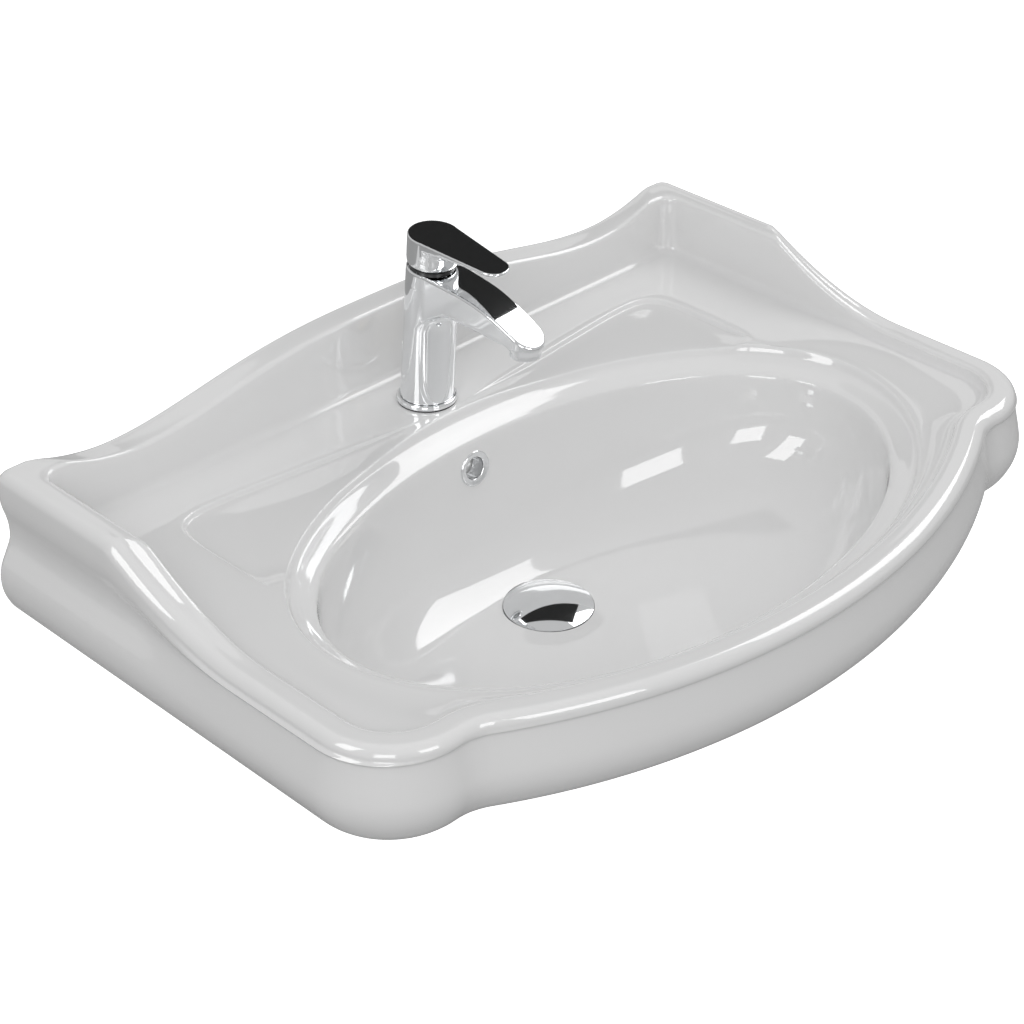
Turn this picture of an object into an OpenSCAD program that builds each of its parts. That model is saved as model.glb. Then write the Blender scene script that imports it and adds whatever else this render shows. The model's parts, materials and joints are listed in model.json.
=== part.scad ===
// Wall-hung washbasin with a shaped upstand, single-lever mixer tap and click waste.
// Millimetres. The origin is on the wall face, midway between the two wall fixing holes.
// +Z is up, +X is to the user's left-to-right, and the front of the basin is towards -Y.

/* [Basin] */
// Overall width of the rim
basin_w = 636; // [610:1:664]
// Depth of the rim from the wall to the front
basin_d = 442; // [434:1:460]
// Height of the deck above the wall fixing holes
deck_z = 45; // [40:1:50]
// Depth of the apron below the deck
apron_h = 66; // [60:1:74]
// Width of the rim at the sides and the front
rim_w = 21; // [18:0.5:23]
// Width of the rim along the wall
rim_back_w = 25; // [21:0.5:27]
// Wall thickness of the china
china_t = 11; // [9:0.5:12]

/* [Upstand] */
// Height of the rim at the middle of the wall side
hump_h = 62.5; // [55:0.5:70]
// Height of the rim at its low points beside the back corners
dip_h = 38.2; // [32:0.5:42]
// Height of the rim at the back corners
corner_h = 50.6; // [44:0.2:54]
// Height of the rim at the front
front_h = 12.8; // [11:0.2:14]
// Distance of each low point from the middle
dip_x = 234; // [220:1:240]

/* [Bowl] */
// Half width of the bowl's edge
bowl_a = 254.5; // [248:0.5:256]
// Distance from the bowl's centre to its front edge
bowl_front = 168; // [160:0.5:168.5]
// Distance from the bowl's centre to its back edge
bowl_back = 155; // [150:0.5:158]
// Distance of the bowl's centre from the wall
bowl_y = 247.6; // [246:0.2:249]
// Depth of the bowl below the deck
bowl_depth = 117; // [105:1:125]
// Distance of the drain from the wall
drain_y = 189; // [185:1:195]

/* [Tap] */
// Distance of the tap from the wall
tap_y = 66; // [62:1:68]
// Height of the tap body above the deck
tap_h = 92; // [85:1:100]
// Reach of the spout from the tap's axis to the outlet
spout_reach = 99; // [90:1:108]
// Reach of the lever from the tap's axis to its tip
lever_reach = 69; // [60:1:75]

/* [Hidden] */
half_w = basin_w / 2;

// Smooth step from 0 to 1, and a straight blend from a to b
function ramp(t) = let (c = max(0, min(1, t))) c * c * (3 - 2 * c);
function mix(a, b, t) = a + (b - a) * t;

// ---------------------------------------------------------------- Basin outline
// Half the outline runs from the middle of the wall side to the middle of the front:
// wall edge, corner, straight side, round ear, hollow neck, and one wide front arc.
corner_r = 7;
inner_corner_r = 12;
ear_r = 57;
ear_y = -316.7;
ear_sweep = 93.2;
neck_r = 40.6;
ear_x = half_w - ear_r;
neck_x = ear_x + (ear_r + neck_r) * cos(ear_sweep);
neck_y = ear_y - (ear_r + neck_r) * sin(ear_sweep);
neck_k = neck_y + basin_d;
front_r = (neck_x * neck_x + neck_k * neck_k - neck_r * neck_r) / (2 * (neck_r + neck_k));
front_cy = front_r - basin_d;
front_a = atan2(neck_y - front_cy, neck_x);

// Each column is [segment, place along it from 0 to 1]
seg_steps = [15, 3, 11, 7, 4, 10];
half_cols = [for (s = [0:5]) for (i = [0:seg_steps[s] - (s < 5 ? 1 : 0)]) [s, i / seg_steps[s]]];

// The point of a column on the outline moved inwards by d, and by back_d at the wall
function outline(c, d, back_d, r) =
    let (s = c[0], t = c[1])
    s == 0 ? [t * (half_w - d - r), -back_d]
    : s == 1 ? [half_w - d - r + r * sin(90 * t), -back_d - r + r * cos(90 * t)]
    : s == 2 ? [half_w - d, mix(-back_d - r, ear_y, t)]
    : s == 3 ? [ear_x + (ear_r - d) * cos(ear_sweep * t), ear_y - (ear_r - d) * sin(ear_sweep * t)]
    : s == 4 ? let (a = mix(180 - ear_sweep, 180 + front_a, t))
        [neck_x + (neck_r + d) * cos(a), neck_y + (neck_r + d) * sin(a)]
    : let (a = mix(front_a, -90, t)) [(front_r - d) * cos(a), front_cy + (front_r - d) * sin(a)];
function outer(c, d, back_d = 0) = outline(c, d, back_d, corner_r);

// Height of the rim: a broad hump at the wall, a dip, flat corners, and an ogee down each side
hump_power = 1.4;
corner_rise = 64;
corner_power = 1.9;
scoop_start = -117;
scoop_end = -240;
scoop_power = 1.85;
function back_h(x) = x < dip_x
    ? mix(dip_h, hump_h, (1 + cos(180 * pow(x / dip_x, hump_power))) / 2)
    : mix(dip_h, corner_h, pow(min(1, (x - dip_x) / corner_rise), corner_power));
function scoop_h(y) =
    let (left = max(0, min(1, (y - scoop_end) / (scoop_start - scoop_end))))
    mix(front_h, corner_h, pow(left, scoop_power));
function rim_h(c) =
    c[0] == 0 ? back_h(outer(c, 0)[0])
    : c[0] == 1 ? corner_h
    : scoop_h(outer(c, 0)[1]);

// ---------------------------------------------------------------- Bowl
// The bowl's edge is a wide oval. A step, a narrow ledge and a round shoulder lead into it.
step_w = 4;
step_h = 3.5;
ledge_w = 15;
ledge_h = 7.5;
shoulder_w = 21;
shoulder_h = 14.5;
bowl_power = 2.4;
drain_core_r = 15;
// The boss around the drain
boss_r = 38;
boss_h = 40;

// Direction of a column from the bowl's centre, as the angle that draws the oval
function oval_back(c) = inner_foot(c)[1] > -bowl_y ? bowl_back : bowl_front;
function oval_angle(c) =
    let (p = inner_foot(c)) atan2((p[1] + bowl_y) / oval_back(c), p[0] / bowl_a);
function oval(c, inset) =
    let (a = oval_angle(c))
    [(bowl_a - inset) * cos(a), (oval_back(c) - inset) * sin(a) - bowl_y];

// A ring of the bowl: q is 90 at its shoulder and near 0 at its floor; t is an outward offset
floor_q = asin(pow(drain_core_r / (bowl_a - shoulder_w), bowl_power / 2));
bowl_h = bowl_depth - shoulder_h;
function bowl_ring(c, q, t) =
    let (a = oval_angle(c),
        s = pow(sin(q), 2 / bowl_power),
        s0 = drain_core_r / (bowl_a - shoulder_w),
        k = max(0, (1 - s) / (1 - s0)),
        half_d = oval_back(c) - shoulder_w,
        rx = (bowl_a - shoulder_w) * s + t * sin(q),
        ry = half_d * s + (drain_core_r - half_d * s0) * k + t * sin(q),
        cy = mix(-drain_y, -bowl_y, (s - s0) / (1 - s0)))
    [rx * cos(a), cy + ry * sin(a), -shoulder_h - bowl_h * pow(cos(q), 1.8 / bowl_power) - t * cos(q)];

// ---------------------------------------------------------------- Deck
// A raised band runs inside the upstand and carries the tap. It drops by band_h at its
// inner line to the flat corners of the deck.
band_h = 3.5;
band_back_y = -89;
band_slope = 0.11;
band_side_x = 233;
foot_r = 6.5;
function inner_foot(c) = outline(c, rim_w + foot_r, rim_back_w + foot_r, inner_corner_r);

// Where the band's inner line crosses a column, from 0 at the bowl's edge to 1 at the upstand
function band_place(c) =
    let (p = inner_foot(c),
        e = oval(c, 0),
        th = atan2(p[1] + bowl_y, abs(p[0])),
        back_reach = (band_back_y + bowl_y) / max(0.05, sin(th) - band_slope * cos(th)),
        side_reach = band_side_x / max(0.05, cos(th)),
        reach = pow(pow(back_reach, -14) + pow(side_reach, -14), -1 / 14),
        r0 = norm([e[0], e[1] + bowl_y]),
        r1 = norm([p[0], p[1] + bowl_y]),
        corner = (reach - r0) / (r1 - r0),
        side = 0.62 * ramp((14 - th) / 12) + 0.38 * ramp((-8 - th) / 20))
    th > 14 ? max(0, corner) : side;
function edge_h(c) = band_h * (1 - ramp(band_place(c) / 0.12));
function across(c, t) = let (e = oval(c, 0), p = inner_foot(c)) [mix(e[0], p[0], t), mix(e[1], p[1], t)];
function on_deck(c, t, k) =
    let (q = across(c, t), h = edge_h(c)) [q[0], q[1], mix(h, band_h, k)];

// ---------------------------------------------------------------- Basin surface
function at(p, z) = [p[0], p[1], z];
// The apron's outer profile: [height above the lower edge, inset], with a hollow and a belly
apron_profile = [[56, 2], [47, -2.5], [38, -4], [28, -3], [18, 1], [12, 5], [6, 12], [0, 21]];
roll_r = 8;
apron_in = 17;
// The apron stands out past the rim on each side, and is flat at the wall
apron_out = 3;
function wall_inset(d) = d > 12 ? 4 : 0;
function apron_row(c, h, d) =
    let (p = outer(c, d, wall_inset(d))) [p[0] * (1 + apron_out / half_w), p[1], h];
function inside_row(c, h, d, back_d) = at(outline(c, d, back_d, inner_corner_r), h);

function column(c) =
    let (h = rim_h(c), m = band_place(c), w = 0.03, zb = -apron_h, span = h - roll_r)
    concat(
        // Bowl, from the drain up to the shoulder
        [for (q = [floor_q, 13, 22, 32, 42, 52, 61, 69, 76, 83, 90]) bowl_ring(c, q, 0)],
        // Shoulder, ledge and step
        [at(oval(c, 18.5), -11), at(oval(c, ledge_w), -ledge_h - 0.6), at(oval(c, 9), -5.6),
            at(oval(c, step_w), edge_h(c) * 0.3 - step_h), at(oval(c, 1.6), edge_h(c) - 1.1)],
        // Deck and raised band
        [on_deck(c, 0.012, 0), on_deck(c, max(0.03, m - w), 0), on_deck(c, max(0.05, m), 0.5),
            on_deck(c, max(0.07, m + w), 1), on_deck(c, (max(0.07, m + w) + 1) / 2, 1),
            on_deck(c, 0.999, 1)],
        // Fillet, inner wall and rim
        [inside_row(c, band_h + 2, rim_w + 2, rim_back_w + 2),
            inside_row(c, band_h + foot_r - 0.5, rim_w, rim_back_w),
            inside_row(c, h - 2.2, rim_w - 0.6, rim_back_w - 0.6),
            inside_row(c, h - 0.6, rim_w - 2.4, rim_back_w - 2.4),
            inside_row(c, h, rim_w - 5, rim_back_w - 5)],
        [at(outer(c, roll_r, 6), h), at(outer(c, 4.2, 3), h - 0.9), at(outer(c, 1.2, 0.8), h - 3.4),
            at(outer(c, 0, 0), h - roll_r)],
        // Apron: hollow waist, belly and lower edge
        [apron_row(c, h - roll_r - span * 0.35, 3), apron_row(c, h - roll_r - span * 0.7, 6.5),
            apron_row(c, h - roll_r - span - 0.5, 6.5 - 3.5 * ramp(1 - span / 12))],
        [for (p = apron_profile) apron_row(c, zb + p[0], p[1])],
        // Inside of the apron
        [inside_row(c, zb, 30, 16), inside_row(c, zb + 7, 23, 16), inside_row(c, zb + 30, 12, 16),
            inside_row(c, -14, apron_in, 16)],
        // Under the deck and around the outside of the bowl
        [at(oval(c, -5), -13), at(oval(c, shoulder_w - china_t - passage_t(c)), -20)],
        [for (q = [76, 61, 47, 34, 22]) bowl_ring(c, q, china_t + passage_t(c) * ramp((q - 8) / 26))],
        // Drain boss
        [for (p = [[52, -128], [42, -134], [boss_r, -bowl_depth - boss_h], [drain_core_r, -bowl_depth - boss_h]])
            drain_ring(c, p[0], p[1])]
    );
function drain_ring(c, r, z) =
    let (a = oval_angle(c)) [r * cos(a), r * sin(a) - drain_y, z];
// The bowl is thicker down the middle of its back, where the overflow passage runs
passage_ridge = 14;
function passage_t(c) =
    let (p = inner_foot(c))
    p[1] > -bowl_y ? passage_ridge * (1 - ramp((abs(p[0]) - 18) / 40)) : 0;

cols = concat(
    [for (c = half_cols) column(c)],
    [for (i = [len(half_cols) - 2:-1:1]) [for (p = column(half_cols[i])) [-p[0], p[1], p[2]]]]
);
n_cols = len(cols);
n_rows = len(cols[0]);
basin_points = [for (col = cols) for (p = col) p];
basin_faces = [for (i = [0:n_cols - 1]) for (j = [0:n_rows - 1])
    let (a = i * n_rows, b = ((i + 1) % n_cols) * n_rows, k = (j + 1) % n_rows)
    each [[a + j, b + k, b + j], [a + j, a + k, b + k]]];

// ---------------------------------------------------------------- Holes in the basin
fixing_spacing = 280;
fixing_r = 7;
tap_hole_r = 17.5;
waste_hole_r = 22.5;
flange_r = 32;
flange_t = 2.5;
overflow_y = -113.6;
overflow_z = -34;
overflow_tilt = 7;
overflow_r = 11.6;
passage_r = 6;
// Bends of the overflow passage, from the overflow to the side of the drain
passage = [[0, -103, -38], [0, -108, -80], [0, -130, -115], [0, -175, -134]];
under_z = -13.6;

// A straight bore between two points
module bore(p, q, r) {
    v = q - p;
    translate(p)
        rotate([0, acos(v[2] / norm(v)), atan2(v[1], v[0])])
            cylinder(h = norm(v), r = r, $fn = 24);
}
module overflow_frame()
    translate([0, overflow_y, overflow_z]) rotate([-90 - overflow_tilt, 0, 0]) children();

module basin() {
    color("white")
        translate([0, 0, deck_z])
            difference() {
                polyhedron(points = basin_points, faces = basin_faces, convexity = 8);
                for (side = [-1, 1])
                    translate([side * fixing_spacing / 2, 5, -deck_z])
                        rotate([90, 0, 0])
                            cylinder(h = 30, r = fixing_r, $fn = 48);
                translate([0, -tap_y, -40])
                    cylinder(h = 60, r = tap_hole_r, $fn = 64);
                translate([0, -tap_y, -24])
                    cylinder(h = 24 + under_z, r = 20.5, $fn = 64);
                translate([0, -drain_y, -bowl_depth - boss_h - 5])
                    cylinder(h = boss_h + 20, r = waste_hole_r, $fn = 64);
                translate([0, -drain_y, -bowl_depth - flange_t])
                    cylinder(h = 12, r = flange_r + 0.6, $fn = 64);
                overflow_frame()
                    translate([0, 0, -10])
                        cylinder(h = 21, r = overflow_r, $fn = 48);
                for (i = [0:len(passage) - 2])
                    bore(passage[i], passage[i + 1], passage_r);
                for (i = [1:len(passage) - 2])
                    translate(passage[i]) sphere(r = passage_r + 0.5, $fn = 24);
            }
}

// A ring with a square section
module ring(r_in, r_out, z0, z1, fn = 48) {
    translate([0, 0, z0])
        difference() {
            cylinder(h = z1 - z0, r = r_out, $fn = fn);
            translate([0, 0, -1])
                cylinder(h = z1 - z0 + 2, r = r_in, $fn = fn);
        }
}
module turned(points, fn = 64) {
    rotate_extrude($fn = fn) polygon(points);
}

// Chromed ring that lines the overflow hole
module overflow_ring() {
    color("silver")
        translate([0, 0, deck_z])
            overflow_frame()
                turned([[8.6, -2.4], [11.5, -2.6], [13.2, -1.6], [13.2, -0.4], [11.5, 0.2], [11.5, 9],
                    [9.6, 9], [9.6, -0.5], [8.6, -1.2]]);
}

// ---------------------------------------------------------------- Tap
lean = 4.5;
plateau_z = deck_z + band_h;
base_z = 4.6;
column_r0 = 19.3;
column_r1 = 18.4;
top_z = tap_h + 17;
chamfer = 2.5;
cavity_r = 16.2;
web_z = 50;
chamber_r = 12.6;
chamber_z = 78;
nut_r = 14.6;
nut_z = 101;
nose_r = 13;
outlet_y = -spout_reach;
outlet_z = 73.5;
outlet_r = 11;
aerator_r = 9.6;
inlet_x = 7.5;
inlet_y = -3;
inlet_r = 4.5;
stud_y = 9.5;
stud_r = 4;
pivot_z = 98;
hub_z = 111.5;
hub_r = 18.3;
lever_top = 134;
hub_cavity_r = 15.9;
pin_r = 1.5;
lever_tip_r = 11.4;
lift_arm = 8;

// The tap stands on the raised band; its cartridge and lever lean towards the user
module tap_frame() translate([0, -tap_y, plateau_z]) children();
module lean_frame() tap_frame() rotate([lean, 0, 0]) children();

// Plan of the spout: a round column end that narrows to the round nose
module spout_plan() {
    y0 = -6;
    circle(r = column_r1, $fn = 64);
    translate([0, outlet_y]) circle(r = nose_r, $fn = 48);
    polygon([[-column_r1 + 0.8, y0], [column_r1 - 0.8, y0], [nose_r, outlet_y + 1], [-nose_r, outlet_y + 1]]);
}
module spout_side() {
    polygon([[0, 103.5], [-8, 104.8], [-24, 106.2], [-45, 105], [-56, 104.2], [-67, 102.6], [-78, 99.8], [-88, 96.3],
        [-99, 92.2], [-112.5, 87.5], [-113, 79], [-95, 79.7], [-70, 82.1], [-40, 83.3], [-32, 82.4], [-26, 79],
        [-21, 73], [-19, 66], [0, 66]]);
}
module tap_body() {
    color("silver")
        tap_frame()
            difference() {
                union() {
                    intersection() {
                        rotate([lean, 0, 0])
                            turned([[0, -5], [column_r0, -5], [column_r0, base_z], [column_r1, top_z - chamfer],
                                [column_r1 - chamfer, top_z], [0, top_z]], 96);
                        translate([0, 0, base_z + 75])
                            cube([80, 80, 150], center = true);
                    }
                    intersection() {
                        translate([0, 0, 60]) linear_extrude(height = 60) spout_plan();
                        rotate([90, 0, 90]) linear_extrude(height = 60, center = true) spout_side();
                    }
                    translate([0, outlet_y, outlet_z])
                        cylinder(h = 12, r1 = outlet_r, r2 = outlet_r + 1, $fn = 64);
                }
                // Hollow base, inlets and stud hole
                translate([0, 0, -1]) cylinder(h = web_z + 1, r = cavity_r, $fn = 64);
                for (side = [-1, 1]) {
                    translate([side * inlet_x, inlet_y, web_z - 1])
                        cylinder(h = 13, r = inlet_r, $fn = 32);
                    translate([side * inlet_x, inlet_y, web_z])
                        cylinder(h = 30, r = 2.2, $fn = 24);
                }
                translate([0, stud_y, web_z - 1]) cylinder(h = 13, r = stud_r, $fn = 32);
                // Cartridge chamber
                rotate([lean, 0, 0]) {
                    translate([0, 0, chamber_z]) cylinder(h = 40, r = chamber_r, $fn = 64);
                    translate([0, 0, nut_z]) cylinder(h = 20, r = nut_r, $fn = 64);
                }
                // Water way along the spout, and the outlet
                bore([0, -6, 88], [0, outlet_y, 87], 4.5);
                translate([0, outlet_y, outlet_z - 1]) cylinder(h = 11, r = aerator_r, $fn = 48);
                translate([0, outlet_y, outlet_z]) cylinder(h = 13, r = 6, $fn = 32);
            }
}
module tap_base_ring() {
    color("silver")
        tap_frame()
            turned([[17, 1], [21.6, 1], [21.6, 2.2], [20.2, base_z], [17, base_z]]);
}
module tap_base_seal() {
    color("dimgray") tap_frame() ring(17.6, 21.2, 0, 1);
}
module inlet_ports(r, h) {
    for (side = [-1, 1])
        translate([side * 5, 4, 0]) cylinder(h = h, r = r, $fn = 24);
    translate([0, -5.5, 0]) cylinder(h = h, r = r + 0.4, $fn = 24);
}
module cartridge_body() {
    color("gainsboro")
        lean_frame()
            difference() {
                translate([0, 0, chamber_z + 1]) cylinder(h = nut_z - chamber_z - 1, r = chamber_r - 0.1, $fn = 64);
                translate([0, 0, chamber_z + 4]) cylinder(h = 40, r = 10.4, $fn = 64);
                inlet_ports(2.2, 100);
            }
}
module cartridge_base_seals() {
    color("dimgray")
        lean_frame()
            translate([0, 0, chamber_z])
                difference() {
                    union() {
                        for (side = [-1, 1])
                            translate([side * 5, 4, 0]) cylinder(h = 1, r = 3.4, $fn = 32);
                        translate([0, -5.5, 0]) cylinder(h = 1, r = 3.8, $fn = 32);
                    }
                    translate([0, 0, -1]) inlet_ports(2.2, 4);
                }
}
disc_z = chamber_z + 4;
module cartridge_fixed_disc() {
    color("ivory")
        lean_frame()
            difference() {
                translate([0, 0, disc_z]) cylinder(h = 3, r = 10.35, $fn = 64);
                inlet_ports(2.2, 100);
            }
}
module cartridge_moving_disc() {
    color("ivory")
        lean_frame()
            difference() {
                translate([0, 1.2, disc_z + 3.05]) cylinder(h = 2.9, r = 7.2, $fn = 64);
                translate([0, -1, disc_z + 3]) cylinder(h = 1.6, r = 4.2, $fn = 32);
            }
}
module cartridge_disc_carrier() {
    color("steelblue")
        lean_frame()
            difference() {
                translate([0, 1.2, disc_z + 5.95]) cylinder(h = 4, r = 7.4, $fn = 48);
                translate([0, 0, disc_z + 5]) cylinder(h = 10, r = 1.96, $fn = 48);
            }
}
rotor_z = disc_z + 10.2;
module cartridge_rotor() {
    color("steelblue")
        lean_frame()
            difference() {
                translate([0, 0, rotor_z]) cylinder(h = 109.5 - rotor_z, r = 10.33, $fn = 64);
                translate([-3.15, -5.8, rotor_z - 1]) cube([6.3, 13.8, 30]);
                translate([-9, 0, pivot_z]) rotate([0, 90, 0]) cylinder(h = 18, r = pin_r, $fn = 32);
            }
}
module cartridge_pivot_pin() {
    color("silver")
        lean_frame()
            translate([-8.9, 0, pivot_z]) rotate([0, 90, 0]) cylinder(h = 17.8, r = pin_r, $fn = 32);
}
module cartridge_spindle() {
    color("silver")
        lean_frame()
            difference() {
                union() {
                    translate([0, 0, pivot_z - lift_arm]) sphere(r = 1.9, $fn = 32);
                    translate([0, 0, pivot_z - lift_arm]) cylinder(h = 4, r = 1.1, $fn = 32);
                    translate([0, 0, pivot_z - lift_arm + 3.1]) cylinder(h = 18, r = 3, $fn = 32);
                    translate([-3.5, -3.5, 113]) cube([7, 7, 10]);
                    translate([0, 0, 110]) cylinder(h = 4, r = 3, $fn = 32);
                }
                translate([-9, 0, pivot_z]) rotate([0, 90, 0]) cylinder(h = 18, r = pin_r + 0.05, $fn = 32);
            }
}
module cartridge_nut() {
    color("goldenrod")
        lean_frame()
            difference() {
                ring(10.6, nut_r - 0.1, nut_z, 108.4, 64);
                for (a = [0:60:300])
                    rotate([0, 0, a]) translate([12.2, -1.5, 106]) cube([4, 3, 5]);
            }
}
module cartridge_dome() {
    color("black") lean_frame() turned([[12.4, 108.4], [14.4, 108.4], [14.4, top_z], [15.6, top_z], [15.6, 110.2],
        [14.8, 111], [12.4, 111]]);
}

// ---------------------------------------------------------------- Lever
module lever_plan(grow = 0) {
    y1 = -lever_reach + lever_tip_r;
    k = (hub_r - lever_tip_r) / -y1;
    c = sqrt(1 - k * k);
    circle(r = hub_r + grow, $fn = 96);
    translate([0, y1]) circle(r = lever_tip_r + grow, $fn = 64);
    polygon([[-hub_r * c, -hub_r * k], [hub_r * c, -hub_r * k],
        [lever_tip_r * c, y1 - lever_tip_r * k], [-lever_tip_r * c, y1 - lever_tip_r * k]]);
}
module lever_handle() {
    color("silver")
        lean_frame()
            difference() {
                union() {
                    turned([[0, hub_z], [hub_cavity_r + 0.9, hub_z], [hub_r - 0.5, hub_z + 2], [hub_r, hub_z + 4.4],
                        [hub_r, lever_top - 0.8], [hub_r - 0.8, lever_top], [0, lever_top]], 96);
                    intersection() {
                        translate([0, 0, 120]) linear_extrude(height = lever_top - 120) lever_plan();
                        rotate([90, 0, 90])
                            linear_extrude(height = 60, center = true)
                                polygon([[0, 140], [-80, 140], [-80, lever_top - 2.5],
                                    [-lever_reach, lever_top - 2.6], [-40, lever_top - 3.4],
                                    [-hub_r, lever_top - 6], [0, lever_top - 6]]);
                    }
                }
                difference() {
                    translate([0, 0, hub_z - 1]) cylinder(h = 15.5, r = hub_cavity_r, $fn = 96);
                    translate([0, 0, 115.5]) cylinder(h = 20, r = 6.6, $fn = 48);
                }
                translate([-3.55, -3.55, 110]) cube([7.1, 7.1, 13.1]);
                translate([0, 3, 119]) rotate([-90, 0, 0]) cylinder(h = 20, r = 2.5, $fn = 32);
            }
}
module lever_grub_screw() {
    color("dimgray")
        lean_frame()
            translate([0, 3.6, 119])
                rotate([-90, 0, 0])
                    difference() {
                        cylinder(h = 6, r = 2.5, $fn = 32);
                        translate([0, 0, 3.5]) cylinder(h = 4, r = 1.25, $fn = 6);
                    }
}
module lever_screw_plug() {
    color("gray")
        lean_frame()
            translate([0, 14.2, 119])
                rotate([-90, 0, 0])
                    cylinder(h = 3.9, r = 2.5, $fn = 32);
}

// ---------------------------------------------------------------- Aerator
module aerator_housing() {
    color("silver")
        tap_frame()
            translate([0, outlet_y, outlet_z])
                turned([[7.6, 0], [aerator_r - 0.05, 0], [aerator_r - 0.05, 8], [7.6, 8], [7.6, 2.6], [7, 2], [7, 0.6]]);
}
module aerator_seal() {
    color("dimgray") tap_frame() translate([0, outlet_y, outlet_z]) ring(6.2, aerator_r - 0.2, 8, 9.6);
}
module aerator_insert() {
    color("whitesmoke")
        tap_frame()
            translate([0, outlet_y, outlet_z])
                difference() {
                    translate([0, 0, 2.6]) cylinder(h = 5.4, r = 7.55, $fn = 48);
                    for (x = [-6:2.4:6], y = [-6:2.4:6])
                        if (norm([x, y]) < 6.3)
                            translate([x - 0.8, y - 0.8, 1]) cube([1.6, 1.6, 4.6]);
                    translate([0, 0, 6.4]) cylinder(h = 3, r = 6.4, $fn = 48);
                }
}

// ---------------------------------------------------------------- Tap fixing under the deck
under_deck_z = under_z - band_h;
module horseshoe(r, z, h) {
    translate([0, 0, z])
        difference() {
            cylinder(h = h, r = r, $fn = 64);
            translate([-13, -30, -1]) cube([26, 32.8, h + 2]);
            translate([0, stud_y, -1]) cylinder(h = h + 2, r = stud_r + 0.3, $fn = 32);
        }
}
module fixing_stud() {
    color("goldenrod")
        tap_frame()
            translate([0, stud_y, -62]) cylinder(h = web_z + 62 + 11, r = stud_r, $fn = 32);
}
module fixing_gasket() {
    color("dimgray") tap_frame() horseshoe(20, under_deck_z - 3, 3);
}
module fixing_plate() {
    color("silver") tap_frame() horseshoe(19.6, under_deck_z - 5, 2);
}
module fixing_nut() {
    color("goldenrod")
        tap_frame()
            translate([0, stud_y, under_deck_z - 17])
                difference() {
                    union() {
                        cylinder(h = 12, r = 7.5, $fn = 6);
                        translate([0, 0, 10]) cylinder(h = 2, r = 8.2, $fn = 48);
                    }
                    translate([0, 0, -1]) cylinder(h = 14, r = stud_r, $fn = 32);
                }
}

// ---------------------------------------------------------------- Waste
waste_z = deck_z - bowl_depth;
waste_r = 20.955;
waste_in_r = 18.4;
waste_len = 92;
// Plain spigot for the trap, below a thread relief
tail_len = 20;
relief_r = 20;
seal_t = 1;
boss_low = -boss_h;
cap_r = 32.3;
cap_z = 1.4;
module waste_frame() translate([0, -drain_y, waste_z]) children();
module waste_body() {
    color("silver")
        waste_frame()
            difference() {
                turned([[waste_in_r, -waste_len], [waste_r, -waste_len], [waste_r, -waste_len + tail_len],
                    [relief_r, -waste_len + tail_len + 0.6], [relief_r, -waste_len + tail_len + 2.4],
                    [waste_r, -waste_len + tail_len + 3], [waste_r, -flange_t + seal_t], [flange_r, -flange_t + seal_t],
                    [flange_r, -0.2], [flange_r - 0.5, 0.3], [29.5, 0.5], [22.5, -0.3], [20, -1.4], [waste_in_r, -5]]);
                // Overflow slots
                for (a = [0:90:270])
                    rotate([0, 0, a]) translate([15, -6, -24]) cube([10, 12, 12]);
            }
}
module waste_flange_seal() {
    color("dimgray") waste_frame() ring(waste_r + 0.1, 30, -flange_t, -flange_t + seal_t);
}
module waste_under_seal() {
    color("dimgray") waste_frame() turned([[waste_r + 0.05, boss_low - 4], [31, boss_low - 4], [31, boss_low],
        [waste_hole_r - 0.2, boss_low], [waste_r + 0.05, boss_low + 2]]);
}
module waste_washer() {
    color("whitesmoke") waste_frame() ring(waste_r + 0.1, 31, boss_low - 5.5, boss_low - 4);
}
module waste_back_nut() {
    color("silver")
        waste_frame()
            translate([0, 0, boss_low - 15.5])
                difference() {
                    union() {
                        cylinder(h = 10, r = 29, $fn = 6);
                        translate([0, 0, 8]) cylinder(h = 2, r = 29.5, $fn = 64);
                    }
                    translate([0, 0, -1]) cylinder(h = 12, r = waste_r, $fn = 64);
                }
}

// ---------------------------------------------------------------- Click plug
carrier_z = -38;
click_r = 7;
click_top = -9;
stem_r = 3;
module click_carrier() {
    color("goldenrod")
        waste_frame()
            translate([0, 0, carrier_z]) {
                ring(4.2, 9, 0, 8);
                difference() {
                    union() {
                        translate([-17.9, -2, 0]) cube([35.8, 4, 8]);
                        translate([-2, -17.9, 0]) cube([4, 35.8, 8]);
                    }
                    translate([0, 0, -1]) cylinder(h = 10, r = 8.9, $fn = 48);
                }
                ring(17.5, waste_in_r, 0, 8);
            }
}
module click_mechanism() {
    color("gainsboro")
        waste_frame()
            difference() {
                union() {
                    translate([0, 0, carrier_z]) cylinder(h = 9, r = 4.15, $fn = 48);
                    translate([0, 0, carrier_z + 8]) cylinder(h = click_top - carrier_z - 8, r = click_r, $fn = 48);
                }
                translate([0, 0, carrier_z + 10]) cylinder(h = 40, r = 5.4, $fn = 48);
            }
}
spring_turns = 7;
spring_wire = 0.5;
spring_r = 4.3;
spring_low = carrier_z + 10.6;
spring_high = -11.5;
spring_steps = 14;
spring_sides = 6;
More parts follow.
